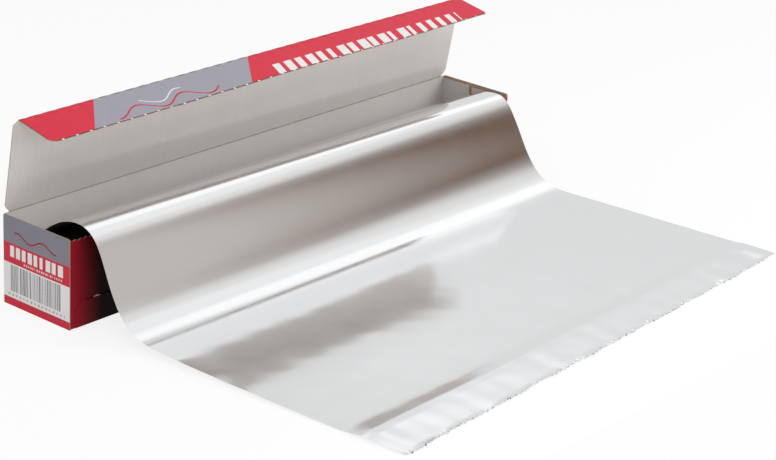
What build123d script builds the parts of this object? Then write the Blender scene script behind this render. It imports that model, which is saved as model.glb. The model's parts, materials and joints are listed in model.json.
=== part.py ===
"""Aluminium foil roll in its opened card dispenser carton. Millimetres, +Z up.

X runs along the carton, +Y points to the back wall, and the origin lies on the ground under the
middle of the carton's bottom.
"""
from build123d import *
from math import cos, radians, sin
import os

# Foil wound on its core.
FOIL_WIDTH = 440.0
CORE_RADIUS = 18.0
CORE_WALL = 1.8
CORE_OVERHANG = 2.0          # core past the foil, each end
WOUND_THICKNESS = 7.0
ROLL_RADIUS = CORE_RADIUS + WOUND_THICKNESS
CORE_LENGTH = FOIL_WIDTH + 2 * CORE_OVERHANG

# Carton: one folded blank of thin card, with room for the roll.
CARD = 0.6
ROLL_END_PLAY = 6.6          # carton's inside length over the core's
ROLL_END_GAP = 0.6           # what is left of it at the left end, where the roll has slid to
ROLL_SIDE_ROOM = 12.8
ROLL_TOP_ROOM = 12.4
CARTON_LENGTH = CORE_LENGTH + ROLL_END_PLAY + 4 * CARD
CARTON_DEPTH = 2 * ROLL_RADIUS + ROLL_SIDE_ROOM + 2 * CARD
CARTON_HEIGHT = CARD + 2 * ROLL_RADIUS + ROLL_TOP_ROOM
BOTTOM_FOLD_RADIUS = 1.0
END_CORNER_RADIUS = 1.5
TORN_EDGE_DROP = 1.0         # torn front edge below the carton's full height
TOOTH_PITCH = 4.6
TOOTH_DEPTH = 1.2
BACK_DUST_FLAP = 26.0        # tucked flap folded in from the back wall
FRONT_DUST_FLAP = 34.0       # tucked flap folded in from the front wall
DUST_FLAP_DROP = 2.0         # tucked flaps end below the end wall's edge

# Lid: the panel that closes the top, and its front flap.
LID_OVERHANG = 2.0           # lid's fold past the front wall when it is closed
LID_DEPTH = CARTON_DEPTH + LID_OVERHANG
LID_END_CLEARANCE = 0.5      # lid ends short of the carton's end walls, each end
LID_HINGE_CHAMFER = 4.5
LID_OPEN_ANGLE = 81.0        # from closed, turning up and back
FLAP_DEPTH = 30.0
FLAP_FOLD_ANGLE = 96.0       # from lying in line with the lid panel, folded inward
FLAP_END_TAPER = 3.0
FLAP_CORNER_RADIUS = 8.0
PERFORATION_PITCH = 12.0
NICK_WIDTH = 1.6
NICK_HEIGHT = 0.6
CREASE_GAP = 0.5             # card left free on each side of the lid's crease
FLAP_CREASE_GAP = 0.3

# Strip of the torn outer front panel that is still glued to the front wall.
STRIP_HEIGHT = 18.0
STRIP_END_INSET = 5.0
STRIP_CORNER_RADIUS = 6.0
STRIP_GROUND_GAP = 0.5

# Foil: the length drawn off the roll over the front edge.
ROLL_Y = 1.0
ROLL_X = ROLL_END_GAP - ROLL_END_PLAY / 2
LEAVE_ANGLE = 42.0           # from the roll's top, towards the back, where the foil leaves it
LEAVE_DEPTH = 0.5            # middle of the drawn foil below the outer turn there
SHEET_THICKNESS = 0.4        # stand-in for thin foil
SHEET_DRIFT = 18.7           # the torn end lies this far to the right of the roll
DRIFT_POWER = 1.25           # the drift starts slowly and ends as a straight skew

# Middle of the drawn foil along its two side edges, as (y, z), after it leaves the roll. The last
# point is where it lands, and from there it lies flat to its torn end. They are set out over a
# carton of this half depth and torn edge height, and follow the carton's own.
SET_OUT_HALF_DEPTH = 32.0
SET_OUT_EDGE_HEIGHT = 62.0
LEFT_EDGE = [
    (-3.5, 60.6), (-19.8, 71.2), (-34.0, 74.0), (-47.0, 70.0), (-57.0, 54.5), (-64.5, 33.0),
    (-75.5, 15.6), (-92.0, 5.6), (-113.0, 2.0), (-137.0, 0.2),
]
RIGHT_EDGE = [
    (2.0, 54.6), (-13.0, 61.4), (-26.0, 63.8), (-38.0, 60.6), (-48.0, 48.5), (-57.5, 31.5),
    (-67.5, 14.8), (-80.0, 3.6), (-97.0, 0.2),
]
LEFT_TORN_END = -298.0
RIGHT_TORN_END = -277.0
STATIONS = 36

HALF_LENGTH = CARTON_LENGTH / 2
HALF_DEPTH = CARTON_DEPTH / 2
ROLL_Z = CARD + ROLL_RADIUS      # the roll rests on the carton's bottom
FRONT_EDGE_Z = CARTON_HEIGHT - TORN_EDGE_DROP


def across(x):
    """Plane square to the carton's length at x: its X along +Y and its Y up."""
    return Plane(origin=(x, 0, 0), x_dir=(0, 1, 0), z_dir=(1, 0, 0))


def facing_front(y):
    """Upright plane at y that faces forward: its X along the carton and its Y up."""
    return Plane(origin=(0, y, 0), x_dir=(1, 0, 0), z_dir=(0, -1, 0))


def plate(low, high):
    """Card panel between two opposite corners."""
    size = [b - a for a, b in zip(low, high)]
    return Pos(*low) * Box(*size, align=(Align.MIN, Align.MIN, Align.MIN))


def toothed_cut():
    """What is torn off the front wall's top: everything above a row of teeth."""
    count = round(CARTON_LENGTH / TOOTH_PITCH)
    pitch = CARTON_LENGTH / count
    over = CARTON_HEIGHT + CARD
    points = [(-HALF_LENGTH, over), (-HALF_LENGTH, FRONT_EDGE_Z)]
    for tooth in range(count):
        x = -HALF_LENGTH + tooth * pitch
        points.append((x + pitch / 2, FRONT_EDGE_Z - TOOTH_DEPTH))
        points.append((x + pitch, FRONT_EDGE_Z))
    points.append((HALF_LENGTH, over))
    face = facing_front(-HALF_DEPTH + 2 * CARD) * make_face(Polyline(*points, close=True))
    return extrude(face, 3 * CARD)


def end_wall(side):
    """Outer end panel with the tucked flaps glued behind it, at side -1 or +1."""
    outer = side * HALF_LENGTH
    glue = outer - side * CARD
    inner = glue - side * CARD
    outline = Pos(0, CARTON_HEIGHT / 2) * Rectangle(CARTON_DEPTH, CARTON_HEIGHT)
    outline = fillet(outline.vertices().group_by(Axis.Y)[-1], END_CORNER_RADIUS)
    panel = extrude(across(min(outer, glue)) * outline, CARD)
    top = CARTON_HEIGHT - DUST_FLAP_DROP
    low_x, high_x = sorted((glue, inner))
    wall_inner = HALF_DEPTH - CARD
    back = plate((low_x, wall_inner - BACK_DUST_FLAP, CARD), (high_x, wall_inner, top))
    front = plate((low_x, -wall_inner, CARD), (high_x, -wall_inner + FRONT_DUST_FLAP, top - TORN_EDGE_DROP))
    return panel + back + front


def make_tray():
    """Bottom, front and back walls bent from one run of card, closed by the glued ends."""
    section = Pos(0, CARTON_HEIGHT / 2) * Rectangle(CARTON_DEPTH, CARTON_HEIGHT)
    section = fillet(section.vertices().group_by(Axis.Y)[0], BOTTOM_FOLD_RADIUS)
    hollow = Pos(0, CARTON_HEIGHT / 2 + CARD) * Rectangle(CARTON_DEPTH - 2 * CARD, CARTON_HEIGHT)
    hollow = fillet(hollow.vertices().group_by(Axis.Y)[0], BOTTOM_FOLD_RADIUS - CARD)
    run = CARTON_LENGTH - 2 * CARD
    walls = extrude(across(-run / 2) * (section - hollow), run)
    tray = walls + end_wall(-1) + end_wall(1)
    crease_cut = plate((-HALF_LENGTH + CARD, HALF_DEPTH - 2 * CARD, CARTON_HEIGHT - CREASE_GAP),
                       (HALF_LENGTH - CARD, HALF_DEPTH + CARD, CARTON_HEIGHT + CARD))
    return tray - toothed_cut() - crease_cut


def lid_frame():
    """Frame of the lid: origin on its crease, X along it, Y from the crease to the fold."""
    angle = radians(LID_OPEN_ANGLE)
    outward = (0, sin(angle), cos(angle))
    return Plane(origin=(0, HALF_DEPTH, CARTON_HEIGHT), x_dir=(-1, 0, 0), z_dir=outward)


def make_lid():
    """Lid panel, its outer face in the lid frame's XY plane and its card below it."""
    half = HALF_LENGTH - LID_END_CLEARANCE
    far = LID_DEPTH - FLAP_CREASE_GAP
    outline = [
        (-half + LID_HINGE_CHAMFER, CREASE_GAP), (half - LID_HINGE_CHAMFER, CREASE_GAP),
        (half, LID_HINGE_CHAMFER), (half, far), (-half, far), (-half, LID_HINGE_CHAMFER),
    ]
    face = make_face(Polyline(*outline, close=True))
    return lid_frame() * extrude(face, -CARD)


def flap_outline():
    """Flap seen flat: square to the fold, tapered ends, rounded corners, nicks on the torn edge."""
    half = HALF_LENGTH - LID_END_CLEARANCE
    body = Polyline((-half, FLAP_CREASE_GAP), (half, FLAP_CREASE_GAP), (half - FLAP_END_TAPER, FLAP_DEPTH),
                    (-half + FLAP_END_TAPER, FLAP_DEPTH), close=True)
    face = make_face(body)
    face = fillet(face.vertices().group_by(Axis.Y)[-1], FLAP_CORNER_RADIUS)
    straight = CARTON_LENGTH - 2 * (FLAP_END_TAPER + 2 * FLAP_CORNER_RADIUS)
    count = int(straight / PERFORATION_PITCH)
    for nick in range(count):
        x = (nick - (count - 1) / 2) * PERFORATION_PITCH
        face += Pos(x, FLAP_DEPTH) * Rectangle(NICK_WIDTH, 2 * NICK_HEIGHT)
    return face


def make_flap():
    """Front flap, folded about the inner edge of the lid panel's end."""
    flat = extrude(flap_outline(), CARD)
    folded = Pos(0, LID_DEPTH, -CARD) * Rot(-FLAP_FOLD_ANGLE, 0, 0) * flat
    return lid_frame() * folded


def make_strip():
    """Glued remainder of the outer front panel, flat on the front wall."""
    width = CARTON_LENGTH - 2 * STRIP_END_INSET
    height = STRIP_HEIGHT - STRIP_GROUND_GAP
    face = Rectangle(width, height)
    face = fillet(face.vertices().group_by(Axis.Y)[-1], STRIP_CORNER_RADIUS)
    middle = STRIP_GROUND_GAP + height / 2
    return extrude(facing_front(-HALF_DEPTH) * Pos(0, middle) * face, CARD)


def tube(outer, inner, length, middle_x):
    """Tube along X with its middle at middle_x, in the roll's place."""
    solid = Cylinder(outer, length) - Cylinder(inner, length)
    return Pos(middle_x, ROLL_Y, ROLL_Z) * Rot(0, 90, 0) * solid


def set_out(y, z):
    """Point of the drawn foil moved with the front wall and its torn edge."""
    if y > -SET_OUT_HALF_DEPTH:
        forward = y * HALF_DEPTH / SET_OUT_HALF_DEPTH
    else:
        forward = y + SET_OUT_HALF_DEPTH - HALF_DEPTH
    return forward, z * FRONT_EDGE_Z / SET_OUT_EDGE_HEIGHT


def edge_curve(points, torn_end):
    """Side edge of the drawn foil in the YZ plane, from where it leaves the roll to the torn end."""
    angle = radians(LEAVE_ANGLE)
    reach = ROLL_RADIUS - LEAVE_DEPTH
    leave = (ROLL_Y + reach * sin(angle), ROLL_Z + reach * cos(angle))
    placed = [(0, y, z) for y, z in [leave] + [set_out(*point) for point in points]]
    bent = Spline(*placed, tangents=[(0, -cos(angle), sin(angle)), (0, -1, 0)])
    flat = Line(placed[-1], (0, set_out(torn_end, 0)[0], placed[-1][2]))
    return Wire([bent, flat])


def edge_point(curve, share, side):
    """Point on a side edge, drifting along X, and never so low that the sheet dips below ground."""
    point = curve @ share
    x = ROLL_X + side * FOIL_WIDTH / 2 + SHEET_DRIFT * share ** DRIFT_POWER
    return Vector(x, point.Y, max(point.Z, SHEET_THICKNESS / 2))


def make_sheet():
    """Drawn-off foil as a thin strip lofted through level stations between its two side edges."""
    left = edge_curve(LEFT_EDGE, LEFT_TORN_END)
    right = edge_curve(RIGHT_EDGE, RIGHT_TORN_END)
    sections = []
    for station in range(STATIONS + 1):
        share = station / STATIONS
        a = edge_point(left, share, -1)
        b = edge_point(right, share, 1)
        ahead = (left % share) + (right % share)
        width = b - a
        up = ahead.cross(width)
        frame = Plane(origin=(a + b) / 2, x_dir=width, z_dir=width.cross(up))
        sections.append(frame * Rectangle(width.length, SHEET_THICKNESS))
    return loft(sections, ruled=True)


def make_foil():
    """Wound turns and drawn-off sheet: one continuous strip of foil."""
    turns = tube(ROLL_RADIUS, CORE_RADIUS, FOIL_WIDTH, ROLL_X)
    return turns + make_sheet()


def main():
    nodes = {
        "carton_tray": make_tray(),
        "carton_lid": make_lid(),
        "front_flap": make_flap(),
        "front_glue_strip": make_strip(),
        "core_tube": tube(CORE_RADIUS, CORE_RADIUS - CORE_WALL, CORE_LENGTH, ROLL_X),
        "foil": make_foil(),
    }
    os.makedirs("parts", exist_ok=True)
    for name, shape in nodes.items():
        export_step(shape, f"parts/{name}.step")


main()
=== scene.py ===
"""Kitchen foil roll in its opened card carton: meshes, finishes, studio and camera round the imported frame."""
import json
import math

import bmesh
import bpy
import numpy as np
from mathutils import Matrix, Vector


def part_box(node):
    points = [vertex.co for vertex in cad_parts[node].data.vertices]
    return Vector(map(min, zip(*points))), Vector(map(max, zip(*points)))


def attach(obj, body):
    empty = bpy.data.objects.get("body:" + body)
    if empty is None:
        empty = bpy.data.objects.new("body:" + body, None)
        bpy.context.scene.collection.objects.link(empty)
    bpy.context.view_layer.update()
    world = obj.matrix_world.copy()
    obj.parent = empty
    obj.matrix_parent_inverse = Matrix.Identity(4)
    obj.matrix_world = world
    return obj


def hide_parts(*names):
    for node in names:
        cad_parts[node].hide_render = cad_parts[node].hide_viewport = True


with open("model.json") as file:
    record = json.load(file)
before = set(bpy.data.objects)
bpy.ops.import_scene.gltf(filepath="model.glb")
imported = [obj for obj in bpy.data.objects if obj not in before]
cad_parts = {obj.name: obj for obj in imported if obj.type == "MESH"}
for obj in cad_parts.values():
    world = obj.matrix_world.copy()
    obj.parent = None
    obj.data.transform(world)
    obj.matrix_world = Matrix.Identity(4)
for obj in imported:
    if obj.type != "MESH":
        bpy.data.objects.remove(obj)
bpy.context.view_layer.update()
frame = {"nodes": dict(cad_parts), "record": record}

bl_info = {
    "name": "Foil Roll Carton",
    "version": (1, 0, 0),
    "blender": (4, 5, 0),
    "location": "3D View > Sidebar > Foil Roll",
    "description": "Builds a kitchen foil roll in its opened dispenser carton",
    "category": "Add Mesh",
}

MM = 0.001
WHITE = (1.0, 1.0, 1.0)
BLACK = (0.0, 0.0, 0.0)
SHELL_SHARP = math.radians(32.0)    # edges over this angle stay crisp on shells
TURNS_SHARP = math.radians(35.0)    # and on the wound turns

# ---- Places that come from the frame ----


def joint_place(name):
    """Where a joint's axis crosses the middle plane, as a vector in metres."""
    joint = next(j for j in frame["record"]["behaviour"]["joints"] if j["name"] == name)
    return Vector(joint["pos_m"])


TRAY_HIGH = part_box("carton_tray")[1]
STRIP_LOW, STRIP_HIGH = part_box("front_glue_strip")
CORE_LOW, CORE_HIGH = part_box("core_tube")
LID_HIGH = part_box("carton_lid")[1]
LID_AXIS = joint_place("lid_hinge")
FLAP_AXIS = joint_place("flap_fold")

HALF_LENGTH = TRAY_HIGH.x
HALF_DEPTH = TRAY_HIGH.y
HEIGHT = TRAY_HIGH.z
CARD = STRIP_HIGH.y - STRIP_LOW.y
LID_HALF = LID_HIGH.x
LID_ANGLE = math.radians(81.0)      # opened from closed
FLAP_TURN = math.radians(96.0)      # folded inward from flat
LID_ALONG = Vector((0, -math.cos(LID_ANGLE), math.sin(LID_ANGLE)))
LID_OUT = Vector((0, math.sin(LID_ANGLE), math.cos(LID_ANGLE)))
LID_DEPTH = (FLAP_AXIS - LID_AXIS).dot(LID_ALONG)
FLAP_ALONG = Matrix.Rotation(FLAP_TURN, 3, "X") @ LID_ALONG
FLAP_OUT = Matrix.Rotation(FLAP_TURN, 3, "X") @ LID_OUT
ROLL_CENTRE = (CORE_LOW + CORE_HIGH) / 2

# ---- Settings a user would change ----


def length_prop(name, description, default):
    """Length in metres."""
    return bpy.props.FloatProperty(name=name, description=description, default=default, min=0.0,
                                   unit="LENGTH", subtype="DISTANCE", precision=5)


def colour_prop(name, description, default):
    """Linear colour."""
    return bpy.props.FloatVectorProperty(name=name, description=description, default=default,
                                         subtype="COLOR", size=3, min=0.0, max=1.0)


class CartonSettings(bpy.types.PropertyGroup):
    """Card blank and its print."""
    tooth_pitch: length_prop("Tooth pitch", "Spacing of the teeth on the torn front edge", 4.6 * MM)
    tooth_depth: length_prop("Tooth depth", "Height of those teeth", 1.2 * MM)
    fold_radius: length_prop("Fold radius", "Outside radius of the carton's bottom folds", 1.0 * MM)
    bow: length_prop("Bow", "How far the long panels bow between their ends", 0.8 * MM)
    flap_depth: length_prop("Flap depth", "Front flap from its fold to its torn edge", 30.0 * MM)
    perforation_pitch: length_prop("Perforation pitch", "Spacing of the cuts along the flap", 12.0 * MM)
    red: colour_prop("Red", "Main printed colour", (0.640, 0.022, 0.050))
    grey: colour_prop("Grey", "Second printed colour", (0.330, 0.320, 0.370))
    # Partly dark print and partly painted shade under the drawn foil, at the middle of the front wall.
    dark_print_and_shade: colour_prop("Dark", "Print at the middle of the front wall", (0.012, 0.006, 0.006))
    white: colour_prop("White", "Unprinted coated face", (0.780, 0.770, 0.760))
    liner: colour_prop("Liner", "Uncoated inside face", (0.575, 0.543, 0.520))
    # Also painted shade: this colour covers the outer end panels' inner skin, in the narrow gap behind them.
    raw_edge: colour_prop("Raw edge", "Cut edge of the card", (0.300, 0.215, 0.150))


class FoilSettings(bpy.types.PropertyGroup):
    """Foil, its roll and its core."""
    width: length_prop("Width", "Width of the foil", 440.0 * MM)
    roll_radius: length_prop("Roll radius", "Outside of the wound turns", 25.0 * MM)
    thickness: length_prop("Thickness", "Shown thickness of the drawn foil", 0.08 * MM)
    crease_height: length_prop("Crease height", "Height of the crease behind the torn edge", 1.6 * MM)
    roughness: bpy.props.FloatProperty(name="Roughness", description="Roughness of the foil", default=0.115)
    metal: colour_prop("Metal", "Colour of the foil", (0.898, 0.905, 0.914))
    core: colour_prop("Core", "Colour of the card core", (0.420, 0.330, 0.240))


class StudioSettings(bpy.types.PropertyGroup):
    """Camera and light."""
    focal: bpy.props.FloatProperty(name="Focal length", description="Lens in millimetres", default=106.56)
    ambient: bpy.props.FloatProperty(name="Ambient", description="Strength of the room's light", default=0.62)
    key: bpy.props.FloatProperty(name="Key", description="Power of the main soft light in watts",
                                 default=14.0, unit="POWER")


# ---- Shader building ----


class Value:
    """A number inside a shader. Arithmetic on it adds Math nodes."""

    def __init__(self, tree, socket):
        self.tree = tree
        self.socket = socket

    def math(self, operation, *others):
        return self.tree.node("ShaderNodeMath", {"operation": operation}, dict(enumerate((self,) + others)))

    def __add__(self, other):
        return self.math("ADD", other)

    __radd__ = __add__

    def __sub__(self, other):
        return self.math("SUBTRACT", other)

    def __rsub__(self, other):
        return self.tree.node("ShaderNodeMath", {"operation": "SUBTRACT"}, {0: other, 1: self})

    def __mul__(self, other):
        return self.math("MULTIPLY", other)

    __rmul__ = __mul__

    def __truediv__(self, other):
        return self.math("DIVIDE", other)

    def __abs__(self):
        return self.math("ABSOLUTE")

    def clamp(self):
        """Held between 0 and 1."""
        return self.tree.node("ShaderNodeClamp", {}, {"Value": self, "Min": 0.0, "Max": 1.0})

    def above(self, edge, soft):
        """1 where the value is over edge, 0 below it, with a ramp soft wide."""
        return ((self - (edge - soft / 2)) / soft).clamp()

    def within(self, low, high, soft):
        """1 between low and high."""
        return self.above(low, soft) * (1 - self.above(high, soft))


class Tree:
    """A node tree that is filled from Python expressions."""

    def __init__(self, node_tree):
        self.nodes = node_tree.nodes
        self.links = node_tree.links
        self.nodes.clear()

    def node(self, kind, settings, sockets, output=0):
        """Adds a node: first its settings, then its sockets' values or links. Returns an output or a list."""
        made = self.nodes.new(kind)
        for key, value in settings.items():
            setattr(made, key, value)
        for key, value in sockets.items():
            if isinstance(value, Value):
                self.links.new(value.socket, made.inputs[key])
            else:
                made.inputs[key].default_value = value
        if isinstance(output, tuple):
            return [Value(self, made.outputs[key]) for key in output]
        return Value(self, made.outputs[output]) if made.outputs else made

    def place(self):
        """The point on the object at rest, as x, y, z in metres and as one vector."""
        vector = self.node("ShaderNodeTexCoord", {}, {}, "Object")
        return self.node("ShaderNodeSeparateXYZ", {}, {0: vector}, (0, 1, 2)) + [vector]

    def rays(self):
        """Two masks: 1 on the camera's own rays, and 1 on rays that a shiny face mirrors."""
        return self.node("ShaderNodeLightPath", {}, {}, ("Is Camera Ray", "Is Glossy Ray"))

    def vector(self, x, y, z):
        return self.node("ShaderNodeCombineXYZ", {}, {0: x, 1: y, 2: z})

    def mix(self, share, first, second):
        """Colour first where share is 0 and second where it is 1."""
        first = first if isinstance(first, Value) else (*first, 1.0)
        second = second if isinstance(second, Value) else (*second, 1.0)
        return self.node("ShaderNodeMix", {"data_type": "RGBA", "clamp_factor": True},
                         {"Factor": share, 6: first, 7: second}, 2)

    def noise(self, vector, scale, detail=2.0, roughness=0.5):
        return self.node("ShaderNodeTexNoise", {}, {"Vector": vector, "Scale": scale, "Detail": detail,
                                                    "Roughness": roughness}, "Fac")

    def random(self, number):
        """A steady random number from 0 to 1 for each whole number."""
        return self.node("ShaderNodeTexWhiteNoise", {"noise_dimensions": "1D"}, {"W": number}, "Value")

    def bump(self, height, distance, strength=1.0):
        return self.node("ShaderNodeBump", {}, {"Height": height, "Distance": distance,
                                                "Strength": strength}, "Normal")


def new_finish(name, colour=(0.8, 0.8, 0.8), **uniform):
    """A material with one Principled shader. Returns the material, its tree and a setter for sockets."""
    material = bpy.data.materials.new(name)
    material.use_nodes = True
    tree = Tree(material.node_tree)
    sockets = {key.replace("_", " "): value for key, value in uniform.items()}
    shader = tree.node("ShaderNodeBsdfPrincipled", {}, {"Base Color": (*colour, 1.0), **sockets})
    tree.node("ShaderNodeOutputMaterial", {}, {"Surface": shader})

    def feed(socket, value):
        tree.links.new(value.socket, shader.socket.node.inputs[socket])

    return material, tree, feed


def blocks(tree, along, start, end, pitch, least, most):
    """Row of bars of uneven width between start and end: 1 on a bar."""
    cell = (along - start) / pitch
    index = cell.math("FLOOR")
    fraction = cell - index
    width = least + (most - least) * tree.random(index + 7.0)
    inside = along.within(start, end, 0.0002)
    return (1 - fraction.math("GREATER_THAN", width)) * inside


def tint(colour, share):
    """Colour made darker or lighter by share."""
    return tuple(min(1.0, share * c) for c in colour)


def card_grain(tree, vector):
    """Faint mottling and fibre of a card face, about 0 in the middle."""
    cloud = tree.noise(vector, 45.0, 3.0) - 0.5
    fibre = tree.noise(vector, 1400.0, 2.0) - 0.5
    return cloud, fibre


def printed_finish(name, paint, shine=0.22):
    """Coated card. paint(tree, x, y, z) gives the print's colour."""
    material, tree, feed = new_finish(name, Roughness=0.42, Specular_IOR_Level=shine)
    x, y, z, vector = tree.place()
    cloud, fibre = card_grain(tree, vector)
    colour = paint(tree, x, y, z)
    shade = (0.5 + 0.18 * cloud + 0.10 * fibre).clamp()
    soft = tree.node("ShaderNodeMix", {"data_type": "RGBA", "blend_type": "SOFT_LIGHT"},
                     {"Factor": 0.5, 6: colour, 7: tree.mix(shade, BLACK, WHITE)}, 2)
    feed("Base Color", soft)
    feed("Roughness", 0.42 + 0.10 * cloud + 0.06 * fibre)
    feed("Normal", tree.bump(0.6 * fibre + 0.4 * cloud, 0.00006))
    return material


def liner_finish(name, colour, slits=False):
    """Uncoated grey inside of the card, with an upright grain. slits adds the cuts along the lid's crease."""
    material, tree, feed = new_finish(name, Roughness=0.85, Specular_IOR_Level=0.2)
    x, y, z, vector = tree.place()
    cloud, fibre = card_grain(tree, vector)
    streaks = tree.noise(tree.vector(x * 900.0, y * 60.0, z * 18.0), 1.0, 3.0, 0.6) - 0.5
    tone = (0.5 + 0.30 * cloud + 0.42 * streaks + 0.14 * fibre).clamp()
    darker = tint(colour, 0.86)
    lighter = tint(colour, 1.12)
    face = tree.mix(tone, darker, lighter)
    if slits:
        cut = (x / 0.012).math("FRACT").within(0.25, 0.85, 0.08) * x.above(-0.06, 0.12)
        face = tree.mix(0.5 * cut, face, tint(colour, 0.35))
    feed("Base Color", face)
    feed("Normal", tree.bump(0.5 * streaks + 0.5 * fibre, 0.00008))
    return material


def edge_finish(name, colour):
    """Raw cut or torn edge of the card: layered grey-brown fibre."""
    material, tree, feed = new_finish(name, Roughness=0.9, Specular_IOR_Level=0.15)
    vector = tree.place()[3]
    fibre = tree.noise(vector, 2500.0, 3.0)
    layers = tree.noise(vector, 300.0, 1.0)
    pale = tint(colour, 1.7)
    feed("Base Color", tree.mix((0.6 * fibre + 0.4 * layers).above(0.5, 0.4), colour, pale))
    feed("Normal", tree.bump(fibre, 0.0001))
    return material


# ---- Mesh building ----


def shell_faces(rows, columns, first):
    """Quads of a closed shell whose two skins are rows x columns grids: outer, inner and rim lists."""
    count = rows * columns

    def at(skin, row, column):
        return first + skin * count + row * columns + column

    outer, inner, rim = [], [], []
    for r in range(rows - 1):
        for c in range(columns - 1):
            outer.append((at(0, r, c), at(0, r, c + 1), at(0, r + 1, c + 1), at(0, r + 1, c)))
            inner.append((at(1, r, c), at(1, r + 1, c), at(1, r + 1, c + 1), at(1, r, c + 1)))
        rim.append((at(0, r, 0), at(0, r + 1, 0), at(1, r + 1, 0), at(1, r, 0)))
        last = columns - 1
        rim.append((at(0, r, last), at(1, r, last), at(1, r + 1, last), at(0, r + 1, last)))
    for c in range(columns - 1):
        last = rows - 1
        rim.append((at(0, 0, c), at(1, 0, c), at(1, 0, c + 1), at(0, 0, c + 1)))
        rim.append((at(0, last, c), at(0, last, c + 1), at(1, last, c + 1), at(1, last, c)))
    return outer, inner, rim


def place_mesh(name, vertices, faces, numbers, materials, sharp, body, node):
    """Mesh object that rides body in place of node. numbers are its faces' materials, sharp an angle."""
    mesh = bpy.data.meshes.new(name)
    mesh.from_pydata([tuple(map(float, v)) for v in vertices], [], faces)
    for material in materials:
        mesh.materials.append(material)
    mesh.polygons.foreach_set("material_index", numbers)
    built = bmesh.new()
    built.from_mesh(mesh)
    bmesh.ops.recalc_face_normals(built, faces=built.faces)
    built.to_mesh(mesh)
    built.free()
    mesh.polygons.foreach_set("use_smooth", [True] * len(mesh.polygons))
    mesh.update()
    piece = bpy.data.objects.new(name, mesh)
    bpy.context.collection.objects.link(piece)
    mesh.set_sharp_from_angle(angle=sharp)
    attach(piece, body)
    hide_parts(node)
    return piece


def add_piece(name, shells, materials, body, node):
    """One mesh object from (outer grid, inner grid, (outer, inner, rim) material numbers) shells."""
    vertices, faces, numbers = [], [], []
    for outer_grid, inner_grid, parts in shells:
        rows, columns = outer_grid.shape[:2]
        groups = shell_faces(rows, columns, len(vertices))
        vertices += list(outer_grid.reshape(-1, 3)) + list(inner_grid.reshape(-1, 3))
        for group, number in zip(groups, parts):
            faces += group
            numbers += [number] * len(group)
    return place_mesh(name, vertices, faces, numbers, materials, SHELL_SHARP, body, node)


def grid(rows, columns, function):
    """Array of points function(row share, column share)."""
    return np.array([[function(r, c) for c in columns] for r in rows], dtype=float)


def cubic(knots, values, at):
    """Natural cubic spline through values at knots, worked out at each of at."""
    count = len(knots)
    step = np.diff(knots)
    system = np.eye(count)
    right = np.zeros((count, values.shape[1]))
    for i in range(1, count - 1):
        system[i, i - 1:i + 2] = step[i - 1], 2 * (step[i - 1] + step[i]), step[i]
        right[i] = 6 * ((values[i + 1] - values[i]) / step[i] - (values[i] - values[i - 1]) / step[i - 1])
    bend = np.linalg.solve(system, right)
    i = np.clip(np.searchsorted(knots, at) - 1, 0, count - 2)
    a = ((knots[i + 1] - at) / step[i])[:, None]
    b = 1 - a
    width = (step[i] ** 2)[:, None] / 6
    return a * values[i] + b * values[i + 1] + width * ((a ** 3 - a) * bend[i] + (b ** 3 - b) * bend[i + 1])


def ripple(seed, count, low, high):
    """Smooth wavy function of two coordinates in metres, about -1 to 1, from count seeded waves."""
    draw = np.random.default_rng(seed)
    angle = draw.uniform(0, math.tau, count)
    wave = draw.uniform(low, high, count)
    phase = draw.uniform(0, math.tau, count)

    def value(x, y):
        total = 0.0
        for a, w, p in zip(angle, wave, phase):
            total = total + np.sin(math.tau * (x * math.cos(a) + y * math.sin(a)) / w + p)
        return total / math.sqrt(count)

    return value


def corner_cut(radius, reach):
    """How far a rounded corner cuts in, reach past where its curve starts."""
    return radius - math.sqrt(max(radius ** 2 - reach ** 2, 0.0))


def nick(phase, spread):
    """Height of the nick in the middle of a perforation's cell, over which phase goes from 0 to 1."""
    return 0.5 * MM * math.exp(-((phase - 0.5) / spread) ** 2)


def bow(x, most):
    """Bow of a long panel: none at its ends and most in the middle."""
    return most * (1 - (x / HALF_LENGTH) ** 2)


# ---- Carton ----


LEAN = 0.83                         # how far the printed fields' edges lean along the carton for each unit up
FRONT_BOW = 0.6                     # of the front wall, as a share of the long panels' bow
TOOTH = (0.0, 0.55, 1.0, 0.5)       # shape of one tooth, as shares of its depth
FLAP_LEFT = 4.2 * MM                # how far the flap's left end stands in from the lid's
FLAP_LEFT_TAPER = 2.4 * MM          # and how much farther at its torn edge
FINISH_NAMES = {"outside": "finish_wall", "strip": "finish_strip", "flap": "finish_flap",
                "lid": "finish_lid", "end": "finish_end", "liner": "finish_liner",
                "crease": "finish_crease", "edge": "finish_raw_edge_and_gap_shade"}


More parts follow.
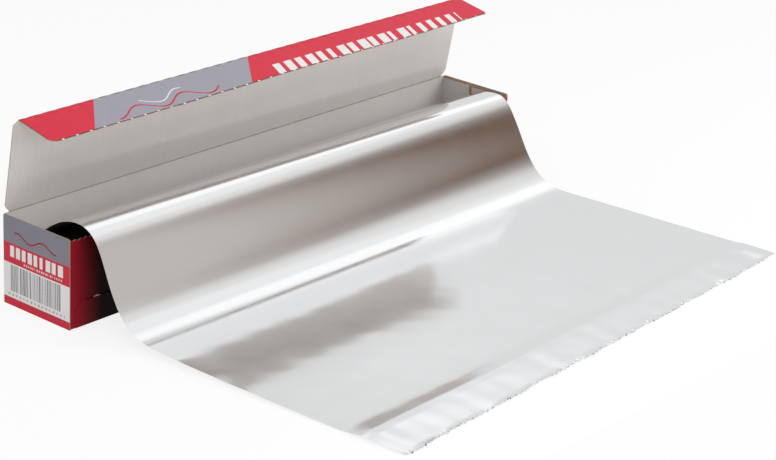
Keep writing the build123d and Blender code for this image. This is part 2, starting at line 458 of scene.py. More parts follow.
def carton_finishes(s):
    """The carton's materials, made once and shared by its pieces."""
    red, grey, dark_print_and_shade, white = (tuple(c) for c in (s.red, s.grey, s.dark_print_and_shade, s.white))

    def fields(tree, x, lean):
        """Red ends and a grey field with leaning ends, by x shifted by lean."""
        shifted = x + lean
        return tree.mix(shifted.within(-0.158, -0.012, 0.0006), red, grey)

    def front(tree, x):
        """Dark in the middle, fading to red at half strength at the carton's ends. The dark middle is partly
        dark print and partly painted shade under the drawn foil, and the halving of the red is painted shade.
        """
        fade = 1 - abs(x).above(0.2115, 0.024)
        return tree.mix(fade, tint(red, 0.50), dark_print_and_shade)

    def outside(tree, x, y, z):
        back = fields(tree, x, (z - LID_HIGH.z) * LEAN)
        return tree.mix(y.above(0.0, 0.001), front(tree, x), back)

    def strip(tree, x, y, z):
        # Below its torn top the strip takes the front wall's colour, with its painted shade.
        return tree.mix(z.above(STRIP_HIGH.z + 0.30 * MM, 0.1 * MM), front(tree, x), white)

    def flap(tree, x, y, z):
        reach = (y - FLAP_AXIS.y) * FLAP_ALONG.y + (z - FLAP_AXIS.z) * FLAP_ALONG.z
        colour = fields(tree, x, reach * LEAN)
        bars = blocks(tree, x + reach * 0.35, 0.002, 0.205, 0.0112, 0.35, 0.82) * reach.above(0.0168, 0.0005)
        wave = 0.0225 + 0.0045 * ((x * 150.0).math("SINE"))
        lines = (abs(reach - wave) - 0.0007).math("LESS_THAN", 0.0) * x.within(-0.158, -0.062, 0.0005)
        pale = (abs(reach - wave + 0.006) - 0.0005).math("LESS_THAN", 0.0) * x.within(-0.130, -0.090, 0.0005)
        colour = tree.mix(bars, colour, white)
        colour = tree.mix(lines, colour, tint(red, 0.8))
        colour = tree.mix(pale, colour, white)
        nick = (x / s.perforation_pitch).math("FRACT").within(0.42, 0.58, 0.03)
        # Painted shadow: the last 0.8 mm before the torn edge is painted near black for the shadow of the
        # card's edge, except at the nicks, which stay white as torn bare board.
        rim = reach.above(s.flap_depth - 0.0008, 0.0003)
        colour = tree.mix(rim * (1 - nick), colour, (0.045, 0.035, 0.032))
        colour = tree.mix(rim * nick, colour, white)
        # Painted shade: a near-black band along the flap's left end stands for its cut edge in shadow.
        side = 1 - (x + LID_HALF - FLAP_LEFT - FLAP_LEFT_TAPER / s.flap_depth * reach).above(0.0005, 0.0003)
        return tree.mix(side, colour, (0.06, 0.03, 0.03))

    def lid_outside(tree, x, y, z):
        return fields(tree, x, (z - LID_HIGH.z) * LEAN)

    def end_face(tree, x, y, z):
        up = z / HEIGHT
        colour = tree.mix(up.above(0.70, 0.004), tint(red, 0.9), tint(grey, 0.66))
        colour = tree.mix(up.within(0.090, 0.478, 0.004), colour, white)
        side = y * (x.math("SIGN"))
        title = blocks(tree, side, -0.0255, 0.0265, 0.0058, 0.45, 0.85) * up.within(0.55, 0.675, 0.01)
        colour = tree.mix(title, colour, white)
        small = blocks(tree, side, -0.012, 0.0255, 0.0021, 0.3, 0.8) * up.within(0.502, 0.528, 0.008)
        colour = tree.mix(0.7 * small, colour, white)
        code = blocks(tree, side, -0.0250, 0.0245, 0.00155, 0.15, 0.80) * up.within(0.165, 0.462, 0.004)
        colour = tree.mix(0.85 * code, colour, (0.060, 0.055, 0.075))
        ticks = blocks(tree, side, -0.0275, 0.0275, 0.0036, 0.35, 0.60) * up.within(0.115, 0.142, 0.004)
        colour = tree.mix(0.5 * ticks, colour, (0.120, 0.110, 0.130))
        wave = 0.80 + 0.035 * (side * 260.0).math("SINE")
        line = (abs(up - wave) - 0.009).math("LESS_THAN", 0.0) * side.within(-0.021, 0.019, 0.0005)
        return tree.mix(line, colour, tint(red, 0.45))

    return {
        "outside": printed_finish(FINISH_NAMES["outside"], outside, 0.08),
        "strip": printed_finish(FINISH_NAMES["strip"], strip, 0.08),
        "flap": printed_finish(FINISH_NAMES["flap"], flap),
        "lid": printed_finish(FINISH_NAMES["lid"], lid_outside),
        "end": printed_finish(FINISH_NAMES["end"], end_face),
        "liner": liner_finish(FINISH_NAMES["liner"], tuple(s.liner)),
        "crease": liner_finish(FINISH_NAMES["crease"], tint(s.liner, 0.9), True),
        "edge": edge_finish(FINISH_NAMES["edge"], tuple(s.raw_edge)),
    }


def finishes():
    """The carton's materials by short name."""
    if FINISH_NAMES["outside"] not in bpy.data.materials:
        carton_finishes(bpy.context.scene.carton_settings)
    return {key: bpy.data.materials[name] for key, name in FINISH_NAMES.items()}


def tray_section(radius, inset):
    """Points (y, z) of the bent run of card, from the front edge down, under and up the back."""
    y = HALF_DEPTH - inset
    low = inset
    bend = radius - inset
    points = []
    for share in np.linspace(1.0, 0.0, 16):
        points.append((-y, low + bend + share * (HEIGHT - low - bend)))
    for turn in np.linspace(0, math.pi / 2, 6)[1:]:
        points.append((-y + bend - bend * math.cos(turn), low + bend - bend * math.sin(turn)))
    for share in np.linspace(0, 1, 8)[1:]:
        points.append((-y + bend + share * 2 * (y - bend), low))
    for turn in np.linspace(0, math.pi / 2, 6)[1:]:
        points.append((y - bend + bend * math.sin(turn), low + bend - bend * math.cos(turn)))
    for share in np.linspace(0, 1, 14)[1:]:
        points.append((y, low + bend + share * (HEIGHT - low - bend)))
    return points


def tray_run(s):
    """Front wall, bottom and back wall as one bent run, its front edge torn to teeth."""
    length = HALF_LENGTH - CARD
    teeth = round(2 * length / s.tooth_pitch)
    draw = np.random.default_rng(11)
    jitter = draw.uniform(-0.22, 0.22, teeth + 2) * MM
    ragged = draw.uniform(0.6, 1.25, teeth + 2)
    xs = np.linspace(-length, length, teeth * len(TOOTH) + 1)
    front_top = HEIGHT - 1.0 * MM
    back_top = HEIGHT - 0.46 * MM

    def skin(inset):
        section = tray_section(s.fold_radius, inset)
        rows = []
        for index, (y, z) in enumerate(section):
            row = []
            for column, x in enumerate(xs):
                place_y, place_z = y, z
                upright = max(0.0, min(1.0, z / HEIGHT))
                if y < -HALF_DEPTH + 2 * CARD:
                    tooth, step = divmod(column, len(TOOTH))
                    dip = TOOTH[step] * s.tooth_depth * ragged[tooth] + jitter[tooth]
                    top = front_top - dip if index == 0 else front_top - s.tooth_depth * 1.3
                    place_z = z * top / HEIGHT
                    place_y = y - bow(x, s.bow) * FRONT_BOW * upright
                elif y > HALF_DEPTH - 2 * CARD:
                    place_z = z * back_top / HEIGHT
                    place_y = y - bow(x, s.bow) * 0.5 * math.sin(math.pi * upright)
                row.append((x, place_y, place_z))
            rows.append(row)
        return np.array(rows)

    return skin(0.0), skin(CARD), (0, 1, 2)


def upright_plate(x, y_low, y_high, z_low, z_high, radius, swell):
    """Closed plate of card square to X whose outer skin is at x, with rounded upper corners."""
    side = 1.0 if x > 0 else -1.0

    def skin(inset):
        def point(row, column):
            y = y_low + column * (y_high - y_low)
            top = z_high - corner_cut(radius, radius - min(y - y_low, y_high - y, radius))
            z = z_low + row * (top - z_low)
            puff = swell * math.sin(math.pi * row) * math.sin(math.pi * column)
            return x - side * inset + side * puff, y, z
        rows = np.linspace(0, 1, 14)
        columns = np.concatenate([np.linspace(0, 0.04, 6)[:-1], np.linspace(0.04, 0.96, 14),
                                  np.linspace(0.96, 1, 6)[1:]])
        return grid(rows, columns, point)

    return skin(0.0), skin(CARD)


def end_walls():
    """Glued end panels and the four flaps tucked behind them."""
    shells = []
    inner = HALF_DEPTH - CARD
    drop = HEIGHT - 2.0 * MM
    for side in (-1, 1):
        outer = side * HALF_LENGTH
        tucked = outer - side * CARD
        for *plate, parts in (
                # The outer panel's inner skin takes the dark raw-edge finish (number 2) as painted shade in the
                # narrow gap behind it; its rim is the real raw edge.
                (outer, -HALF_DEPTH, HALF_DEPTH, 0.0, HEIGHT, 1.5 * MM, 0.25 * MM, (3, 2, 2)),
                (tucked, inner - 26.0 * MM, inner, CARD, drop, 0.8 * MM, 0.0, (1, 1, 2)),
                (tucked, -inner, -inner + 34.0 * MM, CARD, drop - 1.0 * MM, 0.8 * MM, 0.0, (1, 1, 2))):
            shells.append((*upright_plate(*plate), parts))
    return shells


def lid_point(x, along, out):
    """Point at x on the lid, along from its crease and out from its outer face's plane."""
    return LID_AXIS + Vector((x, 0, 0)) + LID_ALONG * along + LID_OUT * out


def build_lid(s):
    """Lid panel: chamfered beside the crease, with the rounded fold that its flap turns on."""
    start = 0.3 * MM
    chamfer = 4.5 * MM
    xs = np.linspace(-1, 1, 301)
    flat_rows = np.linspace(0, 1, 26)
    turns = np.linspace(0, FLAP_TURN, 9)[1:]
    wave = ripple(21, 5, 0.11, 0.34)

    def scallop(x):
        """How far the cuts along the fold push it out at x."""
        return 0.35 * MM * abs(math.sin(math.pi * x / s.perforation_pitch)) ** 0.7

    def skin(inset):
        rows = []
        for share in flat_rows:
            along = start + share * (LID_DEPTH - start)
            cut = max(0.0, chamfer - along)
            round_top = max(0.0, along - (LID_DEPTH - 1.6 * MM))
            half = LID_HALF - cut - 2.5 * round_top
            swell = math.sin(math.pi * share)
            rows.append([lid_point(u * half, along, -inset - swell * (bow(u * half, s.bow)
                                   + 0.25 * MM * wave(u * half, along))) for u in xs])
        for turn in turns:
            radius = max(CARD - inset, 0.05 * MM)
            half = LID_HALF - FLAP_LEFT
            rows.append([lid_point(u * half, LID_DEPTH + (radius + scallop(u * half)) * math.sin(turn),
                                   -CARD + radius * math.cos(turn)) for u in xs])
        return np.array(rows, dtype=float)

    bead_half = LID_HALF - chamfer
    around = np.linspace(0, math.tau, 13)
    bead = [grid(around, np.linspace(-bead_half, bead_half, 61),
                 lambda a, x, r=r: LID_AXIS + Vector((x, r * math.sin(a), r * math.cos(a))))
            for r in (0.44 * MM, 0.30 * MM)]
    f = finishes()
    return add_piece("lid_panel", [(skin(0.0), skin(CARD), (0, 1, 2)), (*bead, (3, 3, 2))],
                     [f["lid"], f["liner"], f["edge"], f["crease"]], "lid", "carton_lid")


def build_flap(s):
    """Front flap: rounded free corners and a torn perforated edge with small nicks."""
    depth = s.flap_depth
    draw = np.random.default_rng(5)
    count = int(2 * LID_HALF / s.perforation_pitch)
    ragged = draw.uniform(-0.25, 0.25, count + 2) * MM
    us = np.concatenate([np.linspace(-1, -0.97, 14)[:-1], np.linspace(-0.97, 0.97, count * 8 + 1),
                         np.linspace(0.97, 1, 14)[1:]])
    wave = ripple(33, 4, 0.10, 0.30)

    def end_at(along, inset, taper, corner):
        """Distance of the flap's end from the middle."""
        reach = max(0.0, along - (depth - corner))
        return LID_HALF - inset - taper * along / depth - corner_cut(corner, reach)

    def skin(inset):
        rows = []
        for share in np.concatenate([np.linspace(0, 0.72, 12), np.linspace(0.72, 1.0, 16)[1:]]):
            along = 0.1 * MM + share * (depth - 0.1 * MM)
            left = -end_at(along, FLAP_LEFT, FLAP_LEFT_TAPER, 5.5 * MM)
            right = end_at(along, 1.2 * MM, 1.6 * MM, 3.0 * MM)
            row = []
            for u in us:
                x = (left + right) / 2 + u * (right - left) / 2
                phase = (x / s.perforation_pitch) % 1.0
                cell = int(x // s.perforation_pitch) + count // 2
                rough = ragged[max(0, min(cell, count))] * math.sin(math.pi * phase)
                torn = (nick(phase, 0.07) + rough) * share ** 12
                rise = (1.0 + 1.5 * u) * MM * share + 0.2 * MM * wave(x, along) * share
                scallop = 0.24 * MM * math.cos(math.tau * phase) * (1 - share) ** 8
                point = (FLAP_AXIS + Vector((x, 0, 0)) + FLAP_ALONG * (along + torn)
                         + FLAP_OUT * (CARD - inset + rise + scallop))
                row.append(point)
            rows.append(row)
        return np.array(rows, dtype=float)

    f = finishes()
    return add_piece("front_flap_panel", [(skin(0.0), skin(CARD), (0, 1, 2))],
                     [f["flap"], f["liner"], f["edge"]], "flap", "front_flap")


def build_strip(s):
    """Torn remainder of the outer front panel, glued flat on the front wall."""
    radius = 6.0 * MM
    half = STRIP_HIGH.x
    draw = np.random.default_rng(8)
    count = int(2 * half / s.perforation_pitch)
    ragged = draw.uniform(-0.5, 0.4, count + 2) * MM
    xs = np.linspace(-half, half, count * 6 + 1)

    def skin(y, lift):
        rows = []
        for share in np.linspace(0, 1, 10):
            row = []
            for x in xs:
                reach = max(0.0, radius - (half - abs(x)))
                top = STRIP_HIGH.z - corner_cut(radius, reach)
                phase = ((x + half) / s.perforation_pitch) % 1.0
                cell = int((x + half) // s.perforation_pitch)
                top += ragged[cell] * math.sin(math.pi * phase) + nick(phase, 0.08)
                z = STRIP_LOW.z + share * (top - STRIP_LOW.z)
                curl = lift * share ** 3 * (0.5 + 0.5 * math.sin(x * 90.0))
                row.append((x, y - bow(x, s.bow) * FRONT_BOW * z / HEIGHT - curl, z))
            rows.append(row)
        return np.array(rows)

    f = finishes()
    shell = (skin(STRIP_LOW.y, 0.3 * MM), skin(STRIP_HIGH.y, 0.3 * MM), (0, 1, 0))
    return add_piece("glued_strip", [shell], [f["strip"], f["liner"]],
                     "carton", "front_glue_strip")


# ---- Foil ----

# Upper skin along the drawn foil's two side edges after it leaves the roll, as (y, z) in millimetres.
LEFT_EDGE = [
    (-3.5, 60.6), (-12.7, 67.2), (-24.4, 72.2), (-35.2, 73.0), (-44.6, 69.4), (-52.7, 58.3), (-59.2, 41.6),
    (-66.2, 26.0), (-76.5, 13.0), (-90.2, 7.0), (-110.8, 4.7), (-140.0, 3.1), (-175.0, 2.1), (-208.0, 1.1),
    (-238.0, 0.5),
]
RIGHT_EDGE = [
    (0.5, 56.8), (-7.1, 59.9), (-14.7, 62.3), (-22.8, 63.5), (-31.0, 62.9), (-37.0, 59.0), (-42.0, 52.4),
    (-50.8, 36.9), (-60.9, 19.0), (-67.4, 11.2), (-75.6, 4.9), (-85.5, 1.5), (-98.0, 0.5),
]
LEFT_TORN_END = -298.0              # y of the torn edge at that side, in millimetres
RIGHT_TORN_END = -277.0
LEAVE_ANGLE = math.radians(42.0)    # where the foil leaves the roll, back from its top
WRAP_ANGLE = math.radians(60.0)     # stretch before that, which lies round the roll
DRIFT = 18.7 * MM                   # of the sheet along the carton by its torn end
DRIFT_POWER = 1.25                  # growth of that drift along the sheet
UPPER_HEIGHT = 0.12 * MM            # least height of the lying foil's upper skin
UNDER_HEIGHT = 0.02 * MM            # and of its lower one
WAVES_FROM = 0.42                   # share of the free length where the lying foil's waves begin
WAVES_GROW = 0.15                   # and the share over which they set in
TORN_DEPTH = 5.0 * MM               # how far back the tear reaches
TORN_PITCH = 5.75 * MM              # of the torn edge's jags
TORN_LIFT = 0.30 * MM               # how far the torn edge rises from the surface
SHEET_ROWS = 150
SHEET_COLUMNS = 312
HEM_ROWS = 48                       # rows of the sheet's last stretch, where it is creased
HEM_SHARE = 0.11                    # that stretch as a share of the sheet's length


def edge_path(points, torn_end, radius, count):
    """Side edge of the sheet from round the roll to its torn end: count points evenly along it."""
    turns = np.linspace(LEAVE_ANGLE + WRAP_ANGLE, LEAVE_ANGLE, 14)
    arc = [(ROLL_CENTRE.y + radius * math.sin(a), ROLL_CENTRE.z + radius * math.cos(a)) for a in turns]
    leave = np.array(arc[-1])
    ahead = leave + 4.0 * MM * np.array((-math.cos(LEAVE_ANGLE), math.sin(LEAVE_ANGLE)))
    placed = [np.array(p) * MM for p in points]
    knots_at = np.array([leave, ahead] + placed + [placed[-1] + np.array((-30.0 * MM, 0.0))])
    chord = np.concatenate([[0], np.cumsum(np.linalg.norm(np.diff(knots_at, axis=0), axis=1))])
    bent = cubic(chord, knots_at, np.linspace(0, chord[-2], 300))
    bent[:, 1] = np.maximum(bent[:, 1], placed[-1][1])
    line = np.vstack([arc[:-1], bent, [(torn_end * MM, placed[-1][1])]])
    length = np.concatenate([[0], np.cumsum(np.linalg.norm(np.diff(line, axis=0), axis=1))])
    even = length[-1] * np.concatenate([np.linspace(0, 1 - HEM_SHARE, count - HEM_ROWS + 1)[:-1],
                                        np.linspace(1 - HEM_SHARE, 1, HEM_ROWS)])
    return np.stack([np.interp(even, length, line[:, k]) for k in (0, 1)], axis=1), length[-1]


def sheet_surface(s):
    """Smooth upper skin of the drawn foil: x, y, z, share across, length to its torn end and free share."""
    radius = s.roll_radius + 0.25 * MM
    left, left_length = edge_path(LEFT_EDGE, LEFT_TORN_END, radius, SHEET_ROWS)
    right, right_length = edge_path(RIGHT_EDGE, RIGHT_TORN_END, radius, SHEET_ROWS)
    share = np.concatenate([np.linspace(0, 1 - HEM_SHARE, SHEET_ROWS - HEM_ROWS + 1)[:-1],
                            np.linspace(1 - HEM_SHARE, 1, HEM_ROWS)])[:, None]
    across = np.linspace(0, 1, SHEET_COLUMNS)[None, :]
    wrapped = WRAP_ANGLE * radius / left_length
    free = np.clip((share - wrapped) / (1 - wrapped), 0, 1)
    x = ROLL_CENTRE.x + (across - 0.5) * s.width + DRIFT * free ** DRIFT_POWER
    y = left[:, :1] * (1 - across) + right[:, :1] * across
    z = left[:, 1:] * (1 - across) + right[:, 1:] * across
    length = left_length * (1 - across) + right_length * across
    return x, y, z, across, (1 - share) * length, free


def crumple(s, x, y, across, to_end, free):
    """Height added to the lying foil: slow waves, the crease behind the torn edge and its wrinkled hem."""
    slow = ripple(41, 6, 0.09, 0.26)
    fine = ripple(42, 9, 0.018, 0.05)
    hem_wave = ripple(43, 10, 0.012, 0.040)
    edge_wave = ripple(45, 5, 0.016, 0.050)
    lying = np.clip((free - WAVES_FROM) / WAVES_GROW, 0, 1)
    height = lying * 0.10 * MM * (1.0 + slow(x, y)) + lying * 0.026 * MM * fine(x, y)
    height = height + lying * 0.16 * MM * np.exp(-across / 0.03) * (1 + edge_wave(x, y))
    crease_at = (34.0 - 8.0 * across + 0.6 * np.sin(across * 17.0)) * MM    # back from the torn edge
    from_crease = to_end - crease_at
    behind = np.clip(from_crease, 0, None)
    ahead = np.clip(-from_crease, 0, None)
    rise = (15.0 - 8.0 * across) * MM
    climb = np.clip(1 - behind / rise, 0, 1) ** 1.15
    fall = 1 - ahead / (crease_at + 2.0 * MM)
    height = height + s.crease_height * (1.0 - 0.45 * across) * np.where(from_crease > 0, climb, fall)
    hem = np.clip(ahead / (6.0 * MM), 0, 1)
    ends = np.clip(np.exp(-across / 0.09) + np.exp(-(1 - across) / 0.11), 0, 1)
    return height + hem * MM * (0.05 + 0.17 * ends) * (1 + hem_wave(x, 0.4 * y))


def build_sheet(s):
    """Drawn-off foil with its torn front edge."""
    x, y, z, across, to_end, free = sheet_surface(s)
    x = np.broadcast_to(x, y.shape).copy()
    height = crumple(s, x, y, across, to_end, free)
    draw = np.random.default_rng(17)
    tear = ripple(44, 6, 0.012, 0.05)
    near_end = np.clip(1 - to_end / TORN_DEPTH, 0, 1) ** 2
    tooth = np.abs(((x / TORN_PITCH) % 1.0) - 0.5) * 2
    grain = draw.normal(0, 0.22, (1, SHEET_COLUMNS)) * MM
    y = y + near_end * (0.55 * MM * (tooth - 0.5) + 0.75 * MM * tear(x, 0.0) + 1.3 * grain)
    height = height + near_end * TORN_LIFT * (1 + tear(x, 0.3) + grain / TORN_LIFT)
    grid_points = np.stack([x, y, np.maximum(z + height, UPPER_HEIGHT)], axis=-1)
    down_row = np.gradient(grid_points, axis=0)
    down_column = np.gradient(grid_points, axis=1)
    normal = np.cross(down_column, down_row)
    normal /= np.linalg.norm(normal, axis=-1, keepdims=True)
    if normal[-HEM_ROWS, SHEET_COLUMNS // 2, 2] < 0:
        normal = -normal
    under = grid_points - normal * s.thickness
    under[..., 2] = np.maximum(under[..., 2], UNDER_HEIGHT)
    piece = add_piece("foil_sheet", [(grid_points, under, (0, 1, 0))],
                      [foil_finish(s), shaded_underside_finish(s), torn_foil_finish(s)], "carton", "foil")
    torn = 2
    last = (SHEET_ROWS - 2) * (SHEET_COLUMNS - 1)
    for face in piece.data.polygons[last:last + SHEET_COLUMNS - 1]:
        face.material_index = torn
    return piece


def foil_finish(s):
    """Bright rolled foil: fine rolling lines along its length and a soft sheen."""
    name = "bright_foil"
    if name in bpy.data.materials:
        return bpy.data.materials[name]
    material, tree, feed = new_finish(name, tuple(s.metal), Metallic=1.0, Roughness=0.24)
    x, y, z, vector = tree.place()
    lines = tree.noise(tree.vector(x * 700.0, y * 5.0, z * 5.0), 1.0, 2.0, 0.5) - 0.5
    broad = tree.noise(tree.vector(x * 60.0, y * 2.0, z * 2.0), 1.0, 2.0) - 0.5
    cloud = tree.noise(vector, 22.0, 3.0) - 0.5
    feed("Roughness", s.roughness + 0.05 * broad + 0.03 * lines + 0.05 * cloud)
    tone = (0.5 + 0.3 * broad + 0.3 * lines + 0.2 * cloud).clamp()
    feed("Base Color", tree.mix(tone, tint(s.metal, 0.96), tint(s.metal, 1.03)))
    feed("Normal", tree.bump(lines, 0.000004, 0.5))
    return material


def shaded_underside_finish(s):
    """The foil's matt under side, its colour cut to 0.30 of the metal's as painted shade for the dark hollow
    under the arch.
    """
    material, tree, feed = new_finish("underside_foil_painted_shade", tint(s.metal, 0.30), Metallic=1.0, Roughness=0.45)
    vector = tree.place()[3]
    feed("Roughness", 0.45 + 0.1 * (tree.noise(vector, 30.0) - 0.5))
    return material


def torn_foil_finish(s):
    """The foil's last millimetre, ragged, with dark dashes along it as painted shadow under its lifted torn
    edge.
    """
    material, tree, feed = new_finish("torn_foil_shadowed", tuple(s.metal), Metallic=1.0, Roughness=0.3)
    x = tree.place()[0]
    shadow_dash = tree.noise(tree.vector(x * 330.0, 0.0, 0.0), 1.0, 3.0, 0.6).above(0.53, 0.06)
    feed("Base Color", tree.mix(0.8 * shadow_dash, tuple(s.metal), tint(s.metal, 0.16)))
    return material


def wound_end_finish(s):
    """Ends of the wound turns: close concentric edges of foil, coloured 0.35 to 0.85 of the metal in noisy
    rings, partly for the gaps between turns and partly as painted shade for the dim roll end.
    """
    material, tree, feed = new_finish("wound_edges_and_shade", tint(s.metal, 0.8), Metallic=1.0, Roughness=0.4)
    y, z = tree.place()[1:3]
    across = y - ROLL_CENTRE.y
    up = z - ROLL_CENTRE.z
    radius = (across * across + up * up).math("SQRT")
    rings = (radius * 30000.0).math("SINE")
    gaps_and_shade = tree.noise(tree.vector(radius * 2500.0, 0.0, 0.0), 1.0, 2.0)
    feed("Base Color", tree.mix(gaps_and_shade.above(0.5, 0.3), tint(s.metal, 0.35), tint(s.metal, 0.85)))
    feed("Roughness", 0.35 + 0.25 * gaps_and_shade)
    feed("Normal", tree.bump(0.5 * rings + gaps_and_shade, 0.00008))
    return material


def build_turns(s):
    """Wound foil on its core: outer turn a little loose, ends flat."""
    low = ROLL_CENTRE.x - s.width / 2
    core = (CORE_HIGH.z - CORE_LOW.z) / 2
    angles = np.linspace(0, math.tau, 97)[:-1]
    wave = ripple(51, 4, 0.08, 0.3)
    xs = np.concatenate([[0.0, 0.0, 0.002], np.linspace(0.01, 0.99, 40), [0.998, 1.0, 1.0]])
    radii = np.ones(len(xs)) * s.roll_radius
    radii[0] = radii[-1] = core
    vertices, faces, numbers = [], [], []
    for share, radius in zip(xs, radii):
        x = low + share * s.width
        for a in angles:
            loose = 0.08 * MM * wave(x, a * s.roll_radius) if radius > core else 0.0
            r = radius + loose
            vertices.append((x, ROLL_CENTRE.y + r * math.sin(a), ROLL_CENTRE.z + r * math.cos(a)))
    count = len(angles)
    for ring in range(len(xs) - 1):
        for k in range(count):
            n = (k + 1) % count
            faces.append((ring * count + k, ring * count + n, (ring + 1) * count + n, (ring + 1) * count + k))
            numbers.append(1 if ring in (0, len(xs) - 2) else 0)
    last = (len(xs) - 1) * count
    for k in range(count):
        n = (k + 1) % count
        faces.append((last + k, last + n, n, k))
        numbers.append(0)
    return place_mesh("foil_turns", vertices, faces, numbers, [foil_finish(s), wound_end_finish(s)],
                      TURNS_SHARP, "carton", "foil")


def dress_core(s):
    """Finish of the spiral-wound card core, which keeps its solid shape."""
    material, tree, feed = new_finish("core_card", Roughness=0.85, Specular_IOR_Level=0.2)
    x, y, z, vector = tree.place()
    turn = (y - ROLL_CENTRE.y).math("ARCTAN2", z - ROLL_CENTRE.z) / math.tau
    seam = (x / 0.060 + turn).math("FRACT")
    cloud, fibre = card_grain(tree, vector)
    line = seam.within(0.0, 0.02, 0.01)
    colour = tree.mix((0.5 + 0.5 * cloud + 0.3 * fibre).clamp(), tint(s.core, 0.85), tint(s.core, 1.15))
    feed("Base Color", tree.mix(0.6 * line, colour, tint(s.core, 0.4)))
    feed("Normal", tree.bump(fibre - line, 0.0001))
    core = frame["nodes"]["core_tube"]
    core.data.materials.clear()
    core.data.materials.append(material)


# ---- Studio ----

CAMERA_PLACE = Vector((-1.13892, -1.04721, 0.61124))
CAMERA_AZIMUTH = math.radians(-50.43)
CAMERA_ELEVATION = math.radians(21.425)
CAMERA_ROLL = math.radians(3.067)


def build_camera(s):
    """Long lens from the front left, a little above."""
    back = Vector((math.sin(CAMERA_AZIMUTH) * math.cos(CAMERA_ELEVATION),
                   -math.cos(CAMERA_AZIMUTH) * math.cos(CAMERA_ELEVATION), math.sin(CAMERA_ELEVATION)))
    level = Vector((0, 0, 1)).cross(back).normalized()
    up = back.cross(level)
    right = level * math.cos(CAMERA_ROLL) + up * math.sin(CAMERA_ROLL)
    top = up * math.cos(CAMERA_ROLL) - level * math.sin(CAMERA_ROLL)
    data = bpy.data.cameras.new("camera")
    data.lens = s.focal
    data.sensor_width = 36.0
    data.clip_start = 0.05
    data.clip_end = 50.0
    camera = bpy.data.objects.new("camera", data)
    turn = Matrix((right, top, back)).transposed().to_4x4()
    camera.matrix_world = Matrix.Translation(CAMERA_PLACE) @ turn
    bpy.context.collection.objects.link(camera)
    bpy.context.scene.camera = camera


def build_floor():
    """Wide pale floor that keeps the object's soft shadow."""
    mesh = bpy.data.meshes.new("studio_floor")
    half = 12.0
    corners = [(-half, -half, 0), (half, -half, 0), (half, half, 0), (-half, half, 0)]
    mesh.from_pydata(corners, [], [(0, 1, 2, 3)])
    floor = bpy.data.objects.new("studio_floor", mesh)
    floor.location.z = -0.05 * MM
    bpy.context.collection.objects.link(floor)
    material = bpy.data.materials.new("pale_floor")
    material.use_nodes = True
    tree = Tree(material.node_tree)
    seen, mirrored = tree.rays()
    matt = tree.node("ShaderNodeBsdfDiffuse", {}, {"Color": (0.86, 0.86, 0.86, 1.0)})
    lit = tree.node("ShaderNodeEmission", {}, {"Color": (*WHITE, 1.0), "Strength": 1.0})
    share = (0.84 * seen + 0.35 * mirrored).clamp()
    surface = tree.node("ShaderNodeMixShader", {}, {0: share, 1: matt, 2: lit})
    tree.node("ShaderNodeOutputMaterial", {}, {"Surface": surface})
    mesh.materials.append(material)


# What shiny metal mirrors in some directions.
FLAG_FRONT = (0.556, 0.524, 0.498)  # low, from the front to the front right
FLAG_RIGHT = (0.165, 0.105, 0.075)  # low, at the right
PANEL = (0.70, 0.70, 0.70)          # high, at the back right
LEFT_PATCH = (0.40, 0.40, 0.42)     # low, from the left to the front left


def build_world(s):
    """White room for the eye, and another for shiny metal to mirror. That one is graded by z, the sine of the
    angle above level, and by around, in degrees about Z with 0 to the right and -90 to the front."""
    world = bpy.data.worlds.new("studio")
    bpy.context.scene.world = world
    world.use_nodes = True
    tree = Tree(world.node_tree)
    toward = tree.node("ShaderNodeTexCoord", {}, {}, "Generated")
    x, y, z = tree.node("ShaderNodeSeparateXYZ", {}, {0: toward}, (0, 1, 2))
    around = y.math("ARCTAN2", x) * (180.0 / math.pi)
    level = 0.77 + 0.05 * z.above(0.40, 0.10) + 0.24 * z.above(0.475, 0.06) - 0.14 * z.above(0.59, 0.06)
    level = level - 0.18 * z.above(0.45, 0.04) * around.above(38.5, 3.0)
    level = level + 0.16 * z.within(0.54, 0.76, 0.06) * around.within(6.0, 27.0, 8.0)
    low = 1 - z.above(0.50, 0.34)
    flag = tree.mix(around.above(-39.5, 10.0), FLAG_FRONT, FLAG_RIGHT)
    room = tree.mix(low * around.within(-95.0, -4.0, 16.0), tree.vector(level, level, level), flag)
    room = tree.mix(around.within(29.0, 80.0, 5.0) * z.within(0.575, 0.86, 0.06), room, PANEL)
    room = tree.mix(0.6 * low * around.within(-178.0, -125.0, 16.0), room, LEFT_PATCH)
    seen, mirrored = tree.rays()
    colour = tree.mix(seen, tree.mix(mirrored, (s.ambient,) * 3, room), WHITE)
    background = tree.node("ShaderNodeBackground", {}, {"Color": colour, "Strength": 1.0})
    tree.node("ShaderNodeOutputWorld", {}, {"Surface": background})


# Name, place, aim, width and height in metres, and power as a share of the main one's. The last two stand
# for the light that the foil throws up at the lid and at the under side of its flap.
LAMPS = (
    ("key", (-0.9, -0.9, 1.7), (0, -0.1, 0), 1.2, 1.2, 1.0),
    ("fill", (0.80, -0.85, 0.60), (0.05, 0.03, 0.09), 0.6, 0.6, 0.40),
    ("bounce", (0.0, -0.36, 0.015), (0.0, 0.02, 0.125), 0.7, 0.02, 0.016),
    ("glow", (0.0, 0.0, 0.095), (0.0, 0.004, 0.13), 0.44, 0.012, 0.0015),
)


def soft_light(name, place, aim, width, height, power):
    """Rectangular soft lamp at place, turned to aim."""
    data = bpy.data.lights.new(name, "AREA")
    data.shape = "RECTANGLE"
    data.size = width
    data.size_y = height
    data.energy = power
    lamp = bpy.data.objects.new(name, data)
    lamp.location = place
    lamp.visible_camera = False
    lamp.visible_glossy = False
    lamp.rotation_euler = (Vector(aim) - Vector(place)).to_track_quat("-Z", "Y").to_euler()
    bpy.context.collection.objects.link(lamp)


# ---- Operators ----


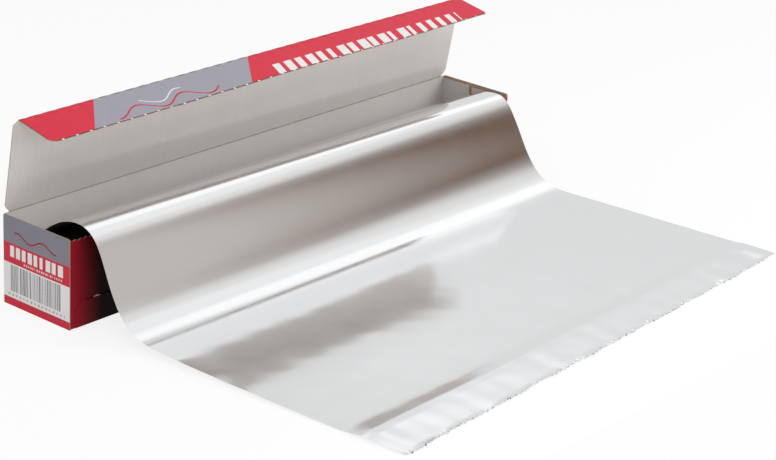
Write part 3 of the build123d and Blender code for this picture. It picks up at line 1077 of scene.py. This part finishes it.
class FOIL_OT_studio(bpy.types.Operator):
    """Add the floor, the soft lights and the camera"""
    bl_idname = "foil_roll.studio"
    bl_label = "Studio"

    def execute(self, context):
        s = context.scene.studio_settings
        build_camera(s)
        build_floor()
        build_world(s)
        for name, place, aim, width, height, share in LAMPS:
            soft_light(name, place, aim, width, height, share * s.key)
        context.scene.view_settings.view_transform = "Standard"
        return {"FINISHED"}


class FOIL_OT_tray(bpy.types.Operator):
    """Add the carton's folded body"""
    bl_idname = "foil_roll.tray"
    bl_label = "Carton body"

    def execute(self, context):
        s = context.scene.carton_settings
        f = finishes()
        add_piece("carton_body", [tray_run(s)] + end_walls(), [f["outside"], f["liner"], f["edge"], f["end"]],
                  "carton", "carton_tray")
        return {"FINISHED"}


class FOIL_OT_lid(bpy.types.Operator):
    """Add the lid panel and its front flap"""
    bl_idname = "foil_roll.lid"
    bl_label = "Lid and flap"

    def execute(self, context):
        s = context.scene.carton_settings
        build_lid(s)
        build_flap(s)
        return {"FINISHED"}


class FOIL_OT_strip(bpy.types.Operator):
    """Add the torn strip that is glued on the front wall"""
    bl_idname = "foil_roll.strip"
    bl_label = "Glued strip"

    def execute(self, context):
        build_strip(context.scene.carton_settings)
        return {"FINISHED"}


class FOIL_OT_roll(bpy.types.Operator):
    """Add the wound turns and finish their card core"""
    bl_idname = "foil_roll.roll"
    bl_label = "Wound roll"

    def execute(self, context):
        s = context.scene.foil_settings
        build_turns(s)
        dress_core(s)
        return {"FINISHED"}


class FOIL_OT_sheet(bpy.types.Operator):
    """Add the foil that is drawn off over the front edge"""
    bl_idname = "foil_roll.sheet"
    bl_label = "Drawn foil"

    def execute(self, context):
        build_sheet(context.scene.foil_settings)
        return {"FINISHED"}


class FOIL_PT_panel(bpy.types.Panel):
    """Foil roll tools"""
    bl_idname = "FOIL_PT_panel"
    bl_label = "Foil Roll"
    bl_space_type = "VIEW_3D"
    bl_region_type = "UI"
    bl_category = "Foil Roll"

    def draw(self, context):
        for operator in OPERATORS:
            self.layout.operator(operator.bl_idname)
        for name in SETTINGS:
            for key in getattr(context.scene, name).__annotations__:
                self.layout.prop(getattr(context.scene, name), key)


OPERATORS = (FOIL_OT_studio, FOIL_OT_tray, FOIL_OT_lid, FOIL_OT_strip, FOIL_OT_roll, FOIL_OT_sheet)
SETTINGS = {"carton_settings": CartonSettings, "foil_settings": FoilSettings,
            "studio_settings": StudioSettings}


def register():
    for cls in (*SETTINGS.values(), *OPERATORS, FOIL_PT_panel):
        bpy.utils.register_class(cls)
    for name, cls in SETTINGS.items():
        setattr(bpy.types.Scene, name, bpy.props.PointerProperty(type=cls))


def unregister():
    for name in SETTINGS:
        delattr(bpy.types.Scene, name)
    for cls in reversed((*SETTINGS.values(), *OPERATORS, FOIL_PT_panel)):
        bpy.utils.unregister_class(cls)


def main():
    register()
    bpy.ops.foil_roll.studio()
    bpy.ops.foil_roll.tray()
    bpy.ops.foil_roll.lid()
    bpy.ops.foil_roll.strip()
    bpy.ops.foil_roll.roll()
    bpy.ops.foil_roll.sheet()


if __name__ == "__main__":
    main()
